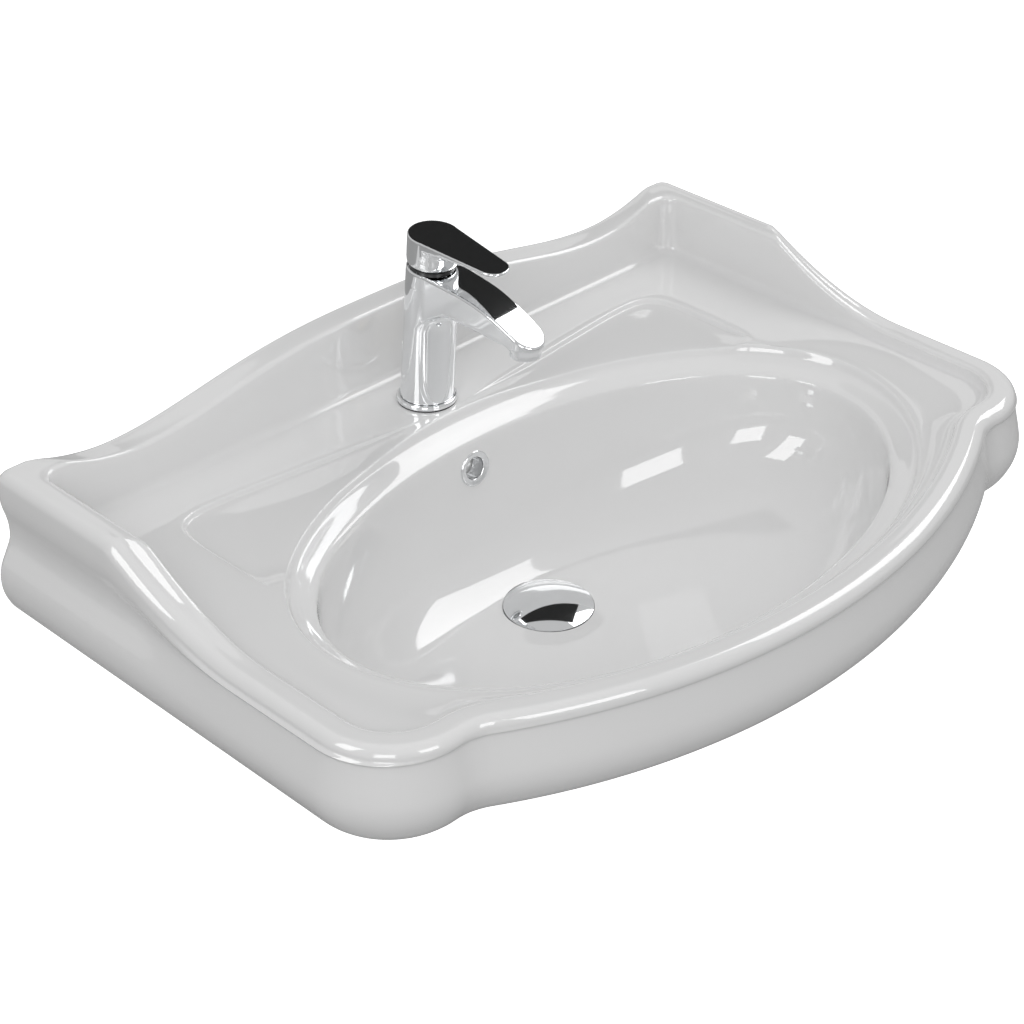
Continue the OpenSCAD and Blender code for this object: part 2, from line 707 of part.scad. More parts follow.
module click_spring() {
    n = spring_turns * spring_steps;
    pts = [for (i = [0:n]) let (a = 360 * i / spring_steps) for (k = [0:spring_sides - 1])
        let (b = 360 * k / spring_sides, r = spring_r + spring_wire * cos(b))
        [r * cos(a), r * sin(a), mix(spring_low, spring_high, i / n) + spring_wire * sin(b)]];
    sides = [for (i = [0:n - 1]) for (k = [0:spring_sides - 1])
        let (a = i * spring_sides, m = (k + 1) % spring_sides)
        each [[a + k, a + m, a + m + spring_sides], [a + k, a + m + spring_sides, a + k + spring_sides]]];
    ends = [[for (k = [spring_sides - 1:-1:0]) k], [for (k = [0:spring_sides - 1]) n * spring_sides + k]];
    color("silver")
        waste_frame()
            polyhedron(points = pts, faces = concat(sides, ends), convexity = 8);
}
module plug_stem() {
    color("silver")
        waste_frame() {
            translate([0, 0, -24]) cylinder(h = 24 + cap_z, r = stem_r, $fn = 32);
            translate([0, 0, -11]) cylinder(h = 1.4, r = 5.2, $fn = 32);
            translate([0, 0, -1]) cylinder(h = 1 + cap_z + 0.6, r = 7, $fn = 32);
        }
}
module plug_seal() {
    color("dimgray")
        waste_frame()
            turned([[7.1, cap_z - 0.8], [26, cap_z - 0.8], [27.5, cap_z], [7.1, cap_z]]);
}
module plug_cap() {
    color("silver")
        waste_frame()
            difference() {
                turned([[0, cap_z], [cap_r - 1, cap_z], [cap_r, cap_z + 0.7], [cap_r - 0.3, cap_z + 1.5],
                    [28, cap_z + 3.1], [22, cap_z + 4.5], [14, cap_z + 5.6], [6, cap_z + 6.1], [0, cap_z + 6.2]], 96);
                translate([0, 0, cap_z - 1]) cylinder(h = 1.6, r = 7.05, $fn = 32);
            }
}

basin();
overflow_ring();
tap_body();
tap_base_ring();
tap_base_seal();
cartridge_body();
cartridge_base_seals();
cartridge_fixed_disc();
cartridge_moving_disc();
cartridge_disc_carrier();
cartridge_rotor();
cartridge_spindle();
cartridge_pivot_pin();
cartridge_nut();
cartridge_dome();
lever_handle();
lever_grub_screw();
lever_screw_plug();
aerator_housing();
aerator_seal();
aerator_insert();
fixing_stud();
fixing_gasket();
fixing_plate();
fixing_nut();
waste_body();
waste_flange_seal();
waste_under_seal();
waste_washer();
waste_back_nut();
click_carrier();
click_mechanism();
click_spring();
plug_stem();
plug_seal();
plug_cap();
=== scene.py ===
import math

import bmesh
import bpy
import numpy as np
from mathutils import Matrix, Vector
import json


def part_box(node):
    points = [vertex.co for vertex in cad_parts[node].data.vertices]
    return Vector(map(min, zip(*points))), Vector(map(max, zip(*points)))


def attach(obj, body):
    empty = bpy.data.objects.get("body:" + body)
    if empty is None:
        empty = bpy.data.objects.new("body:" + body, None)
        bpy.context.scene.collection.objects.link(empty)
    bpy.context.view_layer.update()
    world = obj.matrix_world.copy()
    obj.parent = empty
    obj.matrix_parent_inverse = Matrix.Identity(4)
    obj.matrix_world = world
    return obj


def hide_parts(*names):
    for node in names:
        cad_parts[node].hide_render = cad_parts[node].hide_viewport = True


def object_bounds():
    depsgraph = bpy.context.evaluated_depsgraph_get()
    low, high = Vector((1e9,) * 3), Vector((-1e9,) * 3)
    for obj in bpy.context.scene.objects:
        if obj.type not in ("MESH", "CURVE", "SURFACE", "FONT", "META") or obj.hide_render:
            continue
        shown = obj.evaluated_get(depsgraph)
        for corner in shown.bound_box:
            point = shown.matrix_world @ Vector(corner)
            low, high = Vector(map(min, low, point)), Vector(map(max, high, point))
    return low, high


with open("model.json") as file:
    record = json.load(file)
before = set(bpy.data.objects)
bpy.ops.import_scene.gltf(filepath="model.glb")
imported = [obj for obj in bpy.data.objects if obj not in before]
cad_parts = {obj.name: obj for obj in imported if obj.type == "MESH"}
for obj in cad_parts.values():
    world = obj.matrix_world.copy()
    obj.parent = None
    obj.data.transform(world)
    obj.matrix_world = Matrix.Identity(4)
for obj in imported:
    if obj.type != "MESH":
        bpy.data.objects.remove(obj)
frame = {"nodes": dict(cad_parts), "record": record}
cad_lo, cad_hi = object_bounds()

# Lengths below are millimetres in the part's frame: +Z up, the wall face at y = 0,
# the wall fixing holes at z = 0, and the front towards -Y. Meshes are made in metres.
MM = 0.001


def mix(a, b, t):
    return a + (b - a) * t


def ramp(t):
    t = np.clip(t, 0, 1)
    return t * t * (3 - 2 * t)


def mesh_object(name, points, faces):
    """A smooth-shaded mesh from points in millimetres, with its normals turned outwards."""
    mesh = bpy.data.meshes.new(name)
    mesh.from_pydata((np.asarray(points, float) * MM).tolist(), [], faces)
    mesh.update()
    bm = bmesh.new()
    bm.from_mesh(mesh)
    bmesh.ops.recalc_face_normals(bm, faces=bm.faces)
    bm.to_mesh(mesh)
    bm.free()
    obj = bpy.data.objects.new(name, mesh)
    bpy.context.scene.collection.objects.link(obj)
    mesh.polygons.foreach_set("use_smooth", [True] * len(mesh.polygons))
    return obj


def crease(obj, degrees=35):
    """Edges sharper than this angle stay crisp in the shading."""
    bpy.context.view_layer.objects.active = obj
    obj.select_set(True)
    bpy.ops.object.shade_smooth_by_angle(angle=math.radians(degrees), keep_sharp_edges=True)
    obj.select_set(False)


# ------------------------------------------------------------------ Camera
# The camera looks down on the basin from the front left, as a catalogue view does.
CAM_AZIMUTH, CAM_ELEVATION = math.radians(-44.62), math.radians(32.47)
CAM_TARGET = Vector((0, -152.1, -8.6)) * MM
CAM_DISTANCE = 1.7374
CAM_LENS, CAM_SENSOR = 86.92, 36.0


def make_camera():
    data = bpy.data.cameras.new("camera")
    data.lens = CAM_LENS
    data.sensor_width = CAM_SENSOR
    data.clip_start, data.clip_end = 0.05, 60
    cam = bpy.data.objects.new("camera", data)
    a, e = CAM_AZIMUTH, CAM_ELEVATION
    back = Vector((math.sin(a) * math.cos(e), -math.cos(a) * math.cos(e), math.sin(e)))
    cam.location = CAM_TARGET + back * CAM_DISTANCE
    cam.rotation_mode = "QUATERNION"
    cam.rotation_quaternion = (-back).to_track_quat("-Z", "Y")
    bpy.context.scene.collection.objects.link(cam)
    bpy.context.scene.camera = cam


make_camera()

# ------------------------------------------------------------------ Sizes of the basin
BASIN_LO, BASIN_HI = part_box("basin")
BELLY, APRON_OUT = 4.0, 3.0
HALF_W = BASIN_HI.x / MM - BELLY - APRON_OUT
DEPTH = -BASIN_LO.y / MM - BELLY
DECK_Z = 45.0
APRON_H = 66.0
RIM_W, RIM_BACK_W = 21.0, 25.0
CHINA_T = 11.0
HUMP_H, DIP_H, CORNER_H, FRONT_H, DIP_X = 62.5, 38.2, 50.6, 12.8, 234.0
HUMP_POWER, CORNER_RISE, CORNER_POWER = 1.4, 64.0, 1.9
SCOOP_START, SCOOP_END, SCOOP_POWER = -117.0, -240.0, 1.85
CORNER_R, INNER_CORNER_R = 7.0, 12.0
EAR_R, EAR_Y, EAR_SWEEP, NECK_R = 57.0, -316.7, math.radians(93.2), 40.6
BOWL_A, BOWL_FRONT, BOWL_BACK, BOWL_Y, BOWL_DEPTH, DRAIN_Y = 254.5, 168.0, 155.0, 247.6, 117.0, 189.0
BOWL_POWER, FALL_POWER = 2.4, 1.8
SHOULDER_W, SHOULDER_H = 21.0, 14.5
DRAIN_CORE_R, BOSS_R, UNDERSIDE_Z = 15.0, 38.0, -157.0
BAND_H, BAND_BACK_Y, BAND_SLOPE, BAND_SIDE_X, FOOT_R = 3.5, -89.0, 0.11, 233.0, 6.5
BAND_BLEND = 14.0
ROLL_R, APRON_IN = 8.0, 17.0

EAR_X = HALF_W - EAR_R
NECK_X = EAR_X + (EAR_R + NECK_R) * math.cos(EAR_SWEEP)
NECK_Y = EAR_Y - (EAR_R + NECK_R) * math.sin(EAR_SWEEP)
NECK_K = NECK_Y + DEPTH
FRONT_R = (NECK_X**2 + NECK_K**2 - NECK_R**2) / (2 * (NECK_R + NECK_K))
FRONT_CY = FRONT_R - DEPTH
FRONT_A = math.atan2(NECK_Y - FRONT_CY, NECK_X)

# Half the outline: wall edge, corner, straight side, round ear, hollow neck, front arc
SEG_STEPS = (56, 12, 40, 26, 14, 42)
SEG = np.concatenate([np.full(n + (i == 5), i) for i, n in enumerate(SEG_STEPS)])
ALONG = np.concatenate([np.arange(n + (i == 5)) / n for i, n in enumerate(SEG_STEPS)])


def outline(d, back_d, r):
    """Points of the half outline moved inwards by d, and by back_d at the wall."""
    t = ALONG
    s = SEG
    d = np.broadcast_to(d, t.shape)
    ear = EAR_SWEEP * t
    neck = mix(math.pi - EAR_SWEEP, math.pi + FRONT_A, t)
    front = mix(FRONT_A, -math.pi / 2, t)
    quarter = math.pi / 2 * t
    x = np.select(
        [s == 0, s == 1, s == 2, s == 3, s == 4],
        [
            t * (HALF_W - d - r),
            HALF_W - d - r + r * np.sin(quarter),
            HALF_W - d,
            EAR_X + (EAR_R - d) * np.cos(ear),
            NECK_X + (NECK_R + d) * np.cos(neck),
        ],
        (FRONT_R - d) * np.cos(front),
    )
    y = np.select(
        [s == 0, s == 1, s == 2, s == 3, s == 4],
        [
            -back_d + 0 * t,
            -back_d - r + r * np.cos(quarter),
            mix(-back_d - r, EAR_Y, t),
            EAR_Y - (EAR_R - d) * np.sin(ear),
            NECK_Y + (NECK_R + d) * np.sin(neck),
        ],
        FRONT_CY + (FRONT_R - d) * np.sin(front),
    )
    return np.stack([x, y], 1)


def outer(d, back_d=0.0):
    return outline(d, back_d, CORNER_R)


def rim_height():
    """Rim height round the outline: a broad hump, a dip, flat corners, an ogee down each side."""
    p = outer(0)
    x = np.maximum(p[:, 0], 1e-6)
    hump = mix(DIP_H, HUMP_H, (1 + np.cos(np.pi * np.minimum(x / DIP_X, 1) ** HUMP_POWER)) / 2)
    rise = mix(DIP_H, CORNER_H, np.clip((x - DIP_X) / CORNER_RISE, 0, 1) ** CORNER_POWER)
    back = np.where(x < DIP_X, hump, rise)
    left = np.clip((p[:, 1] - SCOOP_END) / (SCOOP_START - SCOOP_END), 0, 1)
    side = mix(FRONT_H, CORNER_H, left**SCOOP_POWER)
    return np.select([SEG == 0, SEG == 1], [back, CORNER_H + 0 * x], side)


FOOT = outline(RIM_W + FOOT_R, RIM_BACK_W + FOOT_R, INNER_CORNER_R)
OVAL_D = np.where(FOOT[:, 1] > -BOWL_Y, BOWL_BACK, BOWL_FRONT)
OVAL_A = np.arctan2((FOOT[:, 1] + BOWL_Y) / OVAL_D, FOOT[:, 0] / BOWL_A)


def oval(inset):
    return np.stack(
        [(BOWL_A - inset) * np.cos(OVAL_A), (OVAL_D - inset) * np.sin(OVAL_A) - BOWL_Y], 1
    )


def bowl_ring(q, t):
    """A ring of the bowl: q is a quarter turn at its shoulder and near 0 at its floor."""
    s = math.sin(q) ** (2 / BOWL_POWER)
    s0 = DRAIN_CORE_R / (BOWL_A - SHOULDER_W)
    k = max(0, (1 - s) / (1 - s0))
    half_d = OVAL_D - SHOULDER_W
    rx = (BOWL_A - SHOULDER_W) * s + t * math.sin(q)
    ry = half_d * s + (DRAIN_CORE_R - half_d * s0) * k + t * math.sin(q)
    cy = mix(-DRAIN_Y, -BOWL_Y, (s - s0) / (1 - s0))
    fall = max(0.0, math.cos(q)) ** (FALL_POWER / BOWL_POWER)
    z = -SHOULDER_H - (BOWL_DEPTH - SHOULDER_H) * fall - t * math.cos(q)
    return np.stack([rx * np.cos(OVAL_A), cy + ry * np.sin(OVAL_A), z + 0 * OVAL_A], 1)


BEARING = np.arctan2(FOOT[:, 1] + BOWL_Y, np.abs(FOOT[:, 0]))


def band_place():
    """Where the band's inner line crosses each column, from the bowl's edge to the upstand."""
    e = oval(0)
    th = BEARING
    back = (BAND_BACK_Y + BOWL_Y) / np.maximum(0.05, np.sin(th) - BAND_SLOPE * np.cos(th))
    side = BAND_SIDE_X / np.maximum(0.05, np.cos(th))
    reach = (back**-BAND_BLEND + side**-BAND_BLEND) ** (-1 / BAND_BLEND)
    r0 = np.hypot(e[:, 0], e[:, 1] + BOWL_Y)
    r1 = np.hypot(FOOT[:, 0], FOOT[:, 1] + BOWL_Y)
    return np.maximum(0, (reach - r0) / (r1 - r0))


# Along the sides the band's step opens out into a gentle slope across the whole deck
SLOPE_BEARING = 20
PAST_SLOPE = SLOPE_BEARING - np.degrees(BEARING)
SLOPE = ramp(PAST_SLOPE / 24)
PLACE = mix(band_place(), 0.5, SLOPE)
STEP_W = mix(0.02, 0.45, SLOPE)
EDGE_H = BAND_H * np.where(
    SLOPE > 0, 1 - ramp(PAST_SLOPE / 50), 1 - ramp((band_place() - 0.06) / 0.3)
)


def at(p, z):
    return np.column_stack([p, np.broadcast_to(z, len(p))])


def on_deck(t, k):
    """A row on the deck: t runs from the bowl's edge to the upstand, and k is the share of the step."""
    e = oval(0)
    t = np.broadcast_to(t, len(e))[:, None]
    return at(e + (FOOT - e) * t, mix(EDGE_H, BAND_H, k))


def inside(z, d, back_d):
    return at(outline(d, back_d, INNER_CORNER_R), z)


def apron(z, d):
    """A row of the outer apron. Rows deep inside also stand clear of the wall."""
    p = outer(d, 4.0 if np.min(d) > 12 else 0.0)
    return at(p * (1 + APRON_OUT / HALF_W, 1), z)


def basin_rows():
    """Cross-section of the china, row by row, from the drain up, over the rim and back under."""
    h = rim_height()
    w = STEP_W
    span = h - ROLL_R
    half = BOWL_POWER / 2
    rows = [bowl_ring(math.asin(DRAIN_CORE_R**half / (BOWL_A - SHOULDER_W) ** half), 0)]
    for q in (8, 13, 18, 24, 30, 36, 42, 48, 54, 60, 65, 70, 75, 80, 85, 89):
        rows.append(bowl_ring(math.radians(q), 0))
    # Shoulder, ledge and step
    rows += [at(oval(20.3), -12.6), at(oval(18.6), -11.0), at(oval(16.6), -9.7), at(oval(13.5), -8.3)]
    rows += [at(oval(9.5), -6.6), at(oval(5.8), mix(-5.2, -4.0, EDGE_H / BAND_H))]
    rows += [at(oval(3.6), EDGE_H * 0.5 - 3.9), at(oval(1.9), EDGE_H * 0.85 - 1.7)]
    rows += [at(oval(0.6), EDGE_H - 0.35)]
    # Deck, then the raised band that runs inside the upstand
    m = np.maximum(PLACE, 0.05)
    rows += [on_deck(0.01, 0), on_deck(m * 0.5, 0), on_deck(m - w, 0), on_deck(m - w * 0.4, 0.14)]
    rows += [on_deck(m + w * 0.4, 0.86), on_deck(m + w, 1), on_deck(mix(m + w, 1, 0.35), 1)]
    rows += [on_deck(mix(m + w, 1, 0.75), 1), on_deck(0.985, 1)]
    # Fillet, inner wall and rim
    for a in (20, 45, 70):
        s, c = math.sin(math.radians(a)), math.cos(math.radians(a))
        up = BAND_H + FOOT_R * (1 - c)
        rows.append(inside(up, RIM_W + FOOT_R * (1 - s), RIM_BACK_W + FOOT_R * (1 - s)))
    wall_top = h - 2.6
    low = np.minimum(BAND_H + FOOT_R, wall_top - 0.4)
    rows += [inside(low, RIM_W, RIM_BACK_W), inside(mix(low, wall_top, 0.5), RIM_W, RIM_BACK_W)]
    for z, round_in in ((wall_top, 0.3), (h - 1.2, 1.2), (h - 0.35, 2.7), (h, 5)):
        rows.append(inside(z, RIM_W - round_in, RIM_BACK_W - round_in))
    rows += [at(outer(mix(ROLL_R, RIM_W - 5, 0.4), 8), h)]
    # Outer roll
    for a in (0, 18, 36, 54, 72, 90):
        s, c = math.sin(math.radians(a)), math.cos(math.radians(a))
        rows.append(at(outer(ROLL_R * (1 - s), 6 * (1 - s)), h - ROLL_R * (1 - c)))
    # Apron: hollow waist, belly and lower edge
    tall = ramp(span / 30)
    waist = mix(1.2, 6.5, tall)
    rows += [apron(h - ROLL_R - span * 0.35, waist * 0.46), apron(h - ROLL_R - span * 0.7, waist)]
    rows += [apron(-0.5, waist), apron(56 - APRON_H, mix(-0.6, 2, tall))]
    profile = ((47, -2.5), (38, -4), (28, -3), (18, 1), (12, 5), (6, 12), (1.5, 18), (0, 21.5))
    rows += [apron(up - APRON_H, d) for up, d in profile]
    # Inside of the apron
    rows += [inside(-APRON_H, 28.5, 14), inside(1.5 - APRON_H, 30, 16), inside(9 - APRON_H, 23, 16)]
    rows += [inside(30 - APRON_H, 14, 16), inside(-24, 14.5, 16)]
    rows += [inside(-15.5, APRON_IN, 16.5), inside(-13.8, APRON_IN + 2.5, 19)]
    # Under the deck, with a thicker ridge behind the overflow, and round the outside of the bowl
    ridge = np.where(FOOT[:, 1] > -BOWL_Y, 14 * (1 - ramp((np.abs(FOOT[:, 0]) - 18) / 40)), 0)
    rows += [at(oval(-6), -13), at(oval(-2), -14.2), at(oval(SHOULDER_W - CHINA_T - ridge), -20)]
    for q in (76, 68, 61, 54, 47, 40, 34, 28, 22):
        rows.append(bowl_ring(math.radians(q), CHINA_T + ridge * ramp((q - 8) / 26)))
    boss = ((52, -128), (45, -131), (41, -136), (BOSS_R, UNDERSIDE_Z + 1))
    for r, z in boss + ((BOSS_R - 1.2, UNDERSIDE_Z), (DRAIN_CORE_R, UNDERSIDE_Z)):
        p = np.stack([r * np.cos(OVAL_A), r * np.sin(OVAL_A) - DRAIN_Y], 1)
        rows.append(at(p, float(z)))
    return np.array(rows)


def spline_rows(rows, steps):
    """A closed smooth curve through the rows of every column (centripetal Catmull-Rom)."""

    def knot(a, b):
        return np.maximum(np.linalg.norm(b - a, axis=2, keepdims=True), 1e-4) ** 0.5

    p0, p1, p2, p3 = (np.roll(rows, k, 0) for k in (1, 0, -1, -2))
    t1 = knot(p0, p1)
    t2 = t1 + knot(p1, p2)
    t3 = t2 + knot(p2, p3)
    made = []
    for i in range(steps):
        t = t1 + (t2 - t1) * i / steps
        a1 = (t1 - t) / t1 * p0 + t / t1 * p1
        a2 = (t2 - t) / (t2 - t1) * p1 + (t - t1) / (t2 - t1) * p2
        a3 = (t3 - t) / (t3 - t2) * p2 + (t - t2) / (t3 - t2) * p3
        b1 = (t2 - t) / t2 * a1 + t / t2 * a2
        b2 = (t3 - t) / (t3 - t1) * a2 + (t - t1) / (t3 - t1) * a3
        made.append((t2 - t) / (t2 - t1) * b1 + (t - t1) / (t2 - t1) * b2)
    return np.stack(made, 1).reshape(-1, rows.shape[1], 3)


def closed_grid(points):
    """Quads over a grid that closes on itself both ways."""
    nv, nu = points.shape[:2]
    j, i = np.meshgrid(np.arange(nv), np.arange(nu), indexing="ij")
    j2, i2 = (j + 1) % nv, (i + 1) % nu
    quads = np.stack([j * nu + i, j * nu + i2, j2 * nu + i2, j2 * nu + i], -1)
    return quads.reshape(-1, 4).tolist()


def cut_with(obj, cutters):
    """Cuts each cutter out of obj and removes the cutters."""
    for c in cutters:
        m = obj.modifiers.new("cut", "BOOLEAN")
        m.operation = "DIFFERENCE"
        m.solver = "EXACT"
        m.object = c
    dg = bpy.context.evaluated_depsgraph_get()
    mesh = bpy.data.meshes.new_from_object(obj.evaluated_get(dg))
    obj.modifiers.clear()
    obj.data = mesh
    for c in cutters:
        bpy.data.objects.remove(c)


def lathe(name, profile, place=Matrix.Identity(4), steps=128, closed=True):
    """Turns a profile of (radius, height) round +Z, then puts it in place."""
    pr = np.asarray(profile, float)
    a = np.arange(steps) * 2 * np.pi / steps
    rows, faces, points, n = [], [], [], 0
    for r, z in pr:
        if r < 1e-6:
            rows.append([n])
            points.append([[0, 0, z]])
            n += 1
        else:
            rows.append(list(range(n, n + steps)))
            points.append(np.stack([r * np.cos(a), r * np.sin(a), z + 0 * a], 1))
            n += steps
    pairs = list(zip(rows, rows[1:] + rows[:1]))
    for lower, upper in pairs if closed else pairs[:-1]:
        for k in range(steps):
            m = (k + 1) % steps
            if len(lower) == 1 and len(upper) == 1:
                continue
            if len(lower) == 1:
                faces.append([lower[0], upper[k], upper[m]])
            elif len(upper) == 1:
                faces.append([lower[k], lower[m], upper[0]])
            else:
                faces.append([lower[k], lower[m], upper[m], upper[k]])
    p = np.concatenate(points)
    m = np.array(place)
    p = p @ m[:3, :3].T + m[:3, 3]
    return mesh_object(name, p, faces)


def arc(cr, cz, r, a0, a1, n):
    """Points of a profile along an arc, with angles in degrees."""
    a = np.radians(np.linspace(a0, a1, n))
    return [(cr + r * math.cos(v), cz + r * math.sin(v)) for v in a]


def bore(name, p, q, r, steps=64):
    """A plain cylinder between two points, for cutting."""
    p, q = Vector(p), Vector(q)
    turn = (q - p).to_track_quat("Z", "Y").to_matrix().to_4x4()
    length = (q - p).length
    profile = [(0, 0), (r, 0), (r, length), (0, length)]
    return lathe(name, profile, Matrix.Translation(p) @ turn, steps, closed=False)


# ------------------------------------------------------------------ Basin
OVERFLOW_Y, OVERFLOW_Z, OVERFLOW_TILT = -113.6, -34.0 + DECK_Z, math.radians(7)
TAP_Y = -66.0
WASTE_Z = DECK_Z - BOWL_DEPTH
WALL_HOLE_X, WALL_HOLE_R = 140, 7
TAP_HOLE_R, TAP_RECESS_R, TAP_RECESS_Z = 17.5, 20.5, 31.4
WASTE_HOLE_R, WASTE_RECESS_R, OVERFLOW_HOLE_R = 22.5, 32.6, 11.6


def overflow_place():
    turn = Matrix.Rotation(-math.pi / 2 - OVERFLOW_TILT, 4, "X")
    return Matrix.Translation((0, OVERFLOW_Y, OVERFLOW_Z)) @ turn


def make_basin():
    rows = spline_rows(basin_rows(), 3)
    mirrored = rows[:, -2:0:-1] * np.array([-1, 1, 1])
    grid = np.concatenate([rows, mirrored], 1)
    grid[..., 2] += DECK_Z
    lo, hi = np.array(BASIN_LO) / MM, np.array(BASIN_HI) / MM
    grid = np.clip(grid, lo, hi)
    basin = mesh_object("china_basin", grid.reshape(-1, 3), closed_grid(grid))
    turn = overflow_place()
    out = turn @ Vector((0, 0, -10))
    into = turn @ Vector((0, 0, 11))
    recess_lo, recess_hi = WASTE_Z - 2.5, WASTE_Z + 12
    cutters = [
        bore("cut", (-WALL_HOLE_X, 5, 0), (-WALL_HOLE_X, -25, 0), WALL_HOLE_R),
        bore("cut", (WALL_HOLE_X, 5, 0), (WALL_HOLE_X, -25, 0), WALL_HOLE_R),
        bore("cut", (0, TAP_Y, -10), (0, TAP_Y, 65), TAP_HOLE_R),
        bore("cut", (0, TAP_Y, 20), (0, TAP_Y, TAP_RECESS_Z), TAP_RECESS_R),
        bore("cut", (0, -DRAIN_Y, -130), (0, -DRAIN_Y, -60), WASTE_HOLE_R),
        bore("cut", (0, -DRAIN_Y, recess_lo), (0, -DRAIN_Y, recess_hi), WASTE_RECESS_R, 96),
        bore("cut", out, into, OVERFLOW_HOLE_R),
    ]
    cut_with(basin, cutters)
    return basin


# ------------------------------------------------------------------ Tap shapes from smooth fields
# A field is negative inside the shape. Smooth unions and intersections of simple fields give
# the cast body its fillets, and the surface is then laid on the field's zero.
def soft_max(a, b, k):
    """The larger of a and b, rounded where they are within k of each other."""
    h = np.maximum(k - np.abs(a - b), 0) / k
    return np.maximum(a, b) + h * h * k / 4


def soft_min(a, b, k):
    return -soft_max(-a, -b, k)


def round_end_plan(x, y, y0, r0, y1, r1):
    """Distance to a plan with a round end of radius r0 at y0 and one of radius r1 at y1 (y1 < y0)."""
    length = y0 - y1
    px, py = np.abs(x), y0 - y
    b = (r0 - r1) / length
    a = math.sqrt(1 - b * b)
    k = -b * px + a * py
    side = px * a + py * b - r0
    near = np.hypot(px, py) - r0
    far = np.hypot(px, py - length) - r1
    return np.where(k < 0, near, np.where(k > a * length, far, side))


def surface_from_field(name, field, lo, hi, place):
    """Surface nets over a grid, then every point is moved onto the field's zero."""
    axes = [np.arange(a, b + DETAIL, DETAIL) for a, b in zip(lo, hi)]
    gx, gy, gz = np.meshgrid(*axes, indexing="ij")
    v = field(gx, gy, gz)
    negative = v < 0
    shape = [n - 1 for n in v.shape]
    total = np.zeros(shape + [3])
    count = np.zeros(shape)
    grid = (gx, gy, gz)
    corner = (slice(None, -1), slice(1, None))
    for axis in range(3):
        others = [k for k in range(3) if k != axis]
        for c1 in (0, 1):
            for c2 in (0, 1):
                a, b = [None] * 3, [None] * 3
                a[axis], b[axis] = corner[0], corner[1]
                a[others[0]] = b[others[0]] = corner[c1]
                a[others[1]] = b[others[1]] = corner[c2]
                a, b = tuple(a), tuple(b)
                crossing = negative[a] != negative[b]
                t = np.where(crossing, v[a] / np.where(crossing, v[a] - v[b], 1), 0)
                for k in range(3):
                    total[..., k] += np.where(crossing, grid[k][a] + (grid[k][b] - grid[k][a]) * t, 0)
                count += crossing
    active = count > 0
    index = np.full(shape, -1)
    index[active] = np.arange(active.sum())
    points = total[active] / count[active][:, None]
    faces = []
    for axis in range(3):
        o1, o2 = [k for k in range(3) if k != axis]
        a = [slice(1, -1)] * 3
        b = [slice(1, -1)] * 3
        a[axis], b[axis] = slice(None, -1), slice(1, None)
        crossing = negative[tuple(a)] != negative[tuple(b)]
        cells = np.argwhere(crossing)
        cells[:, o1] += 1
        cells[:, o2] += 1
        quad = []
        for d1, d2 in ((-1, -1), (0, -1), (0, 0), (-1, 0)):
            c = cells.copy()
            c[:, o1] += d1
            c[:, o2] += d2
            quad.append(index[c[:, 0], c[:, 1], c[:, 2]])
        faces.append(np.stack(quad, 1))
    faces = np.concatenate(faces)
    eps = 0.02
    for _ in range(8):
        x, y, z = points.T
        f = field(x, y, z)
        g = np.stack(
            [
                field(x + eps, y, z) - field(x - eps, y, z),
                field(x, y + eps, z) - field(x, y - eps, z),
                field(x, y, z + eps) - field(x, y, z - eps),
            ],
            1,
        ) / (2 * eps)
        move = g * (f / np.maximum((g * g).sum(1), 0.2))[:, None]
        size = np.linalg.norm(move, axis=1, keepdims=True)
        points = points - move * np.minimum(1, DETAIL * 0.5 / np.maximum(size, 1e-9))
    m = np.array(place)
    points = points @ m[:3, :3].T + m[:3, 3]
    return mesh_object(name, points, faces.tolist())


LEAN = math.radians(4.5)
PLATEAU_Z = DECK_Z + BAND_H
TAP_PLACE = Matrix.Translation((0, TAP_Y, PLATEAU_Z))
LEAN_PLACE = TAP_PLACE @ Matrix.Rotation(LEAN, 4, "X")
BODY_BASE, BODY_TOP = 4.6, 109.0
COLUMN_R0, COLUMN_R1 = 19.2, 18.4
OUTLET_Y, OUTLET_Z, OUTLET_R, NOSE_R = -99.0, 73.5, 11.0, 13.0
INLET_X, INLET_Y, INLET_R, WEB_Z = 7.5, -3.0, 4.5, 50
BASE_CAVITY_R, CHAMBER_R, CHAMBER_Z, AERATOR_R = 16.2, 14.7, 100, 9.6
DETAIL = 0.7


def leaned(y, z):
    """Position across and along the leaning axis of the tap."""
    c, s = math.cos(LEAN), math.sin(LEAN)
    return y * c + z * s, z * c - y * s


def tube(x, y, r):
    return np.hypot(x, y) - r


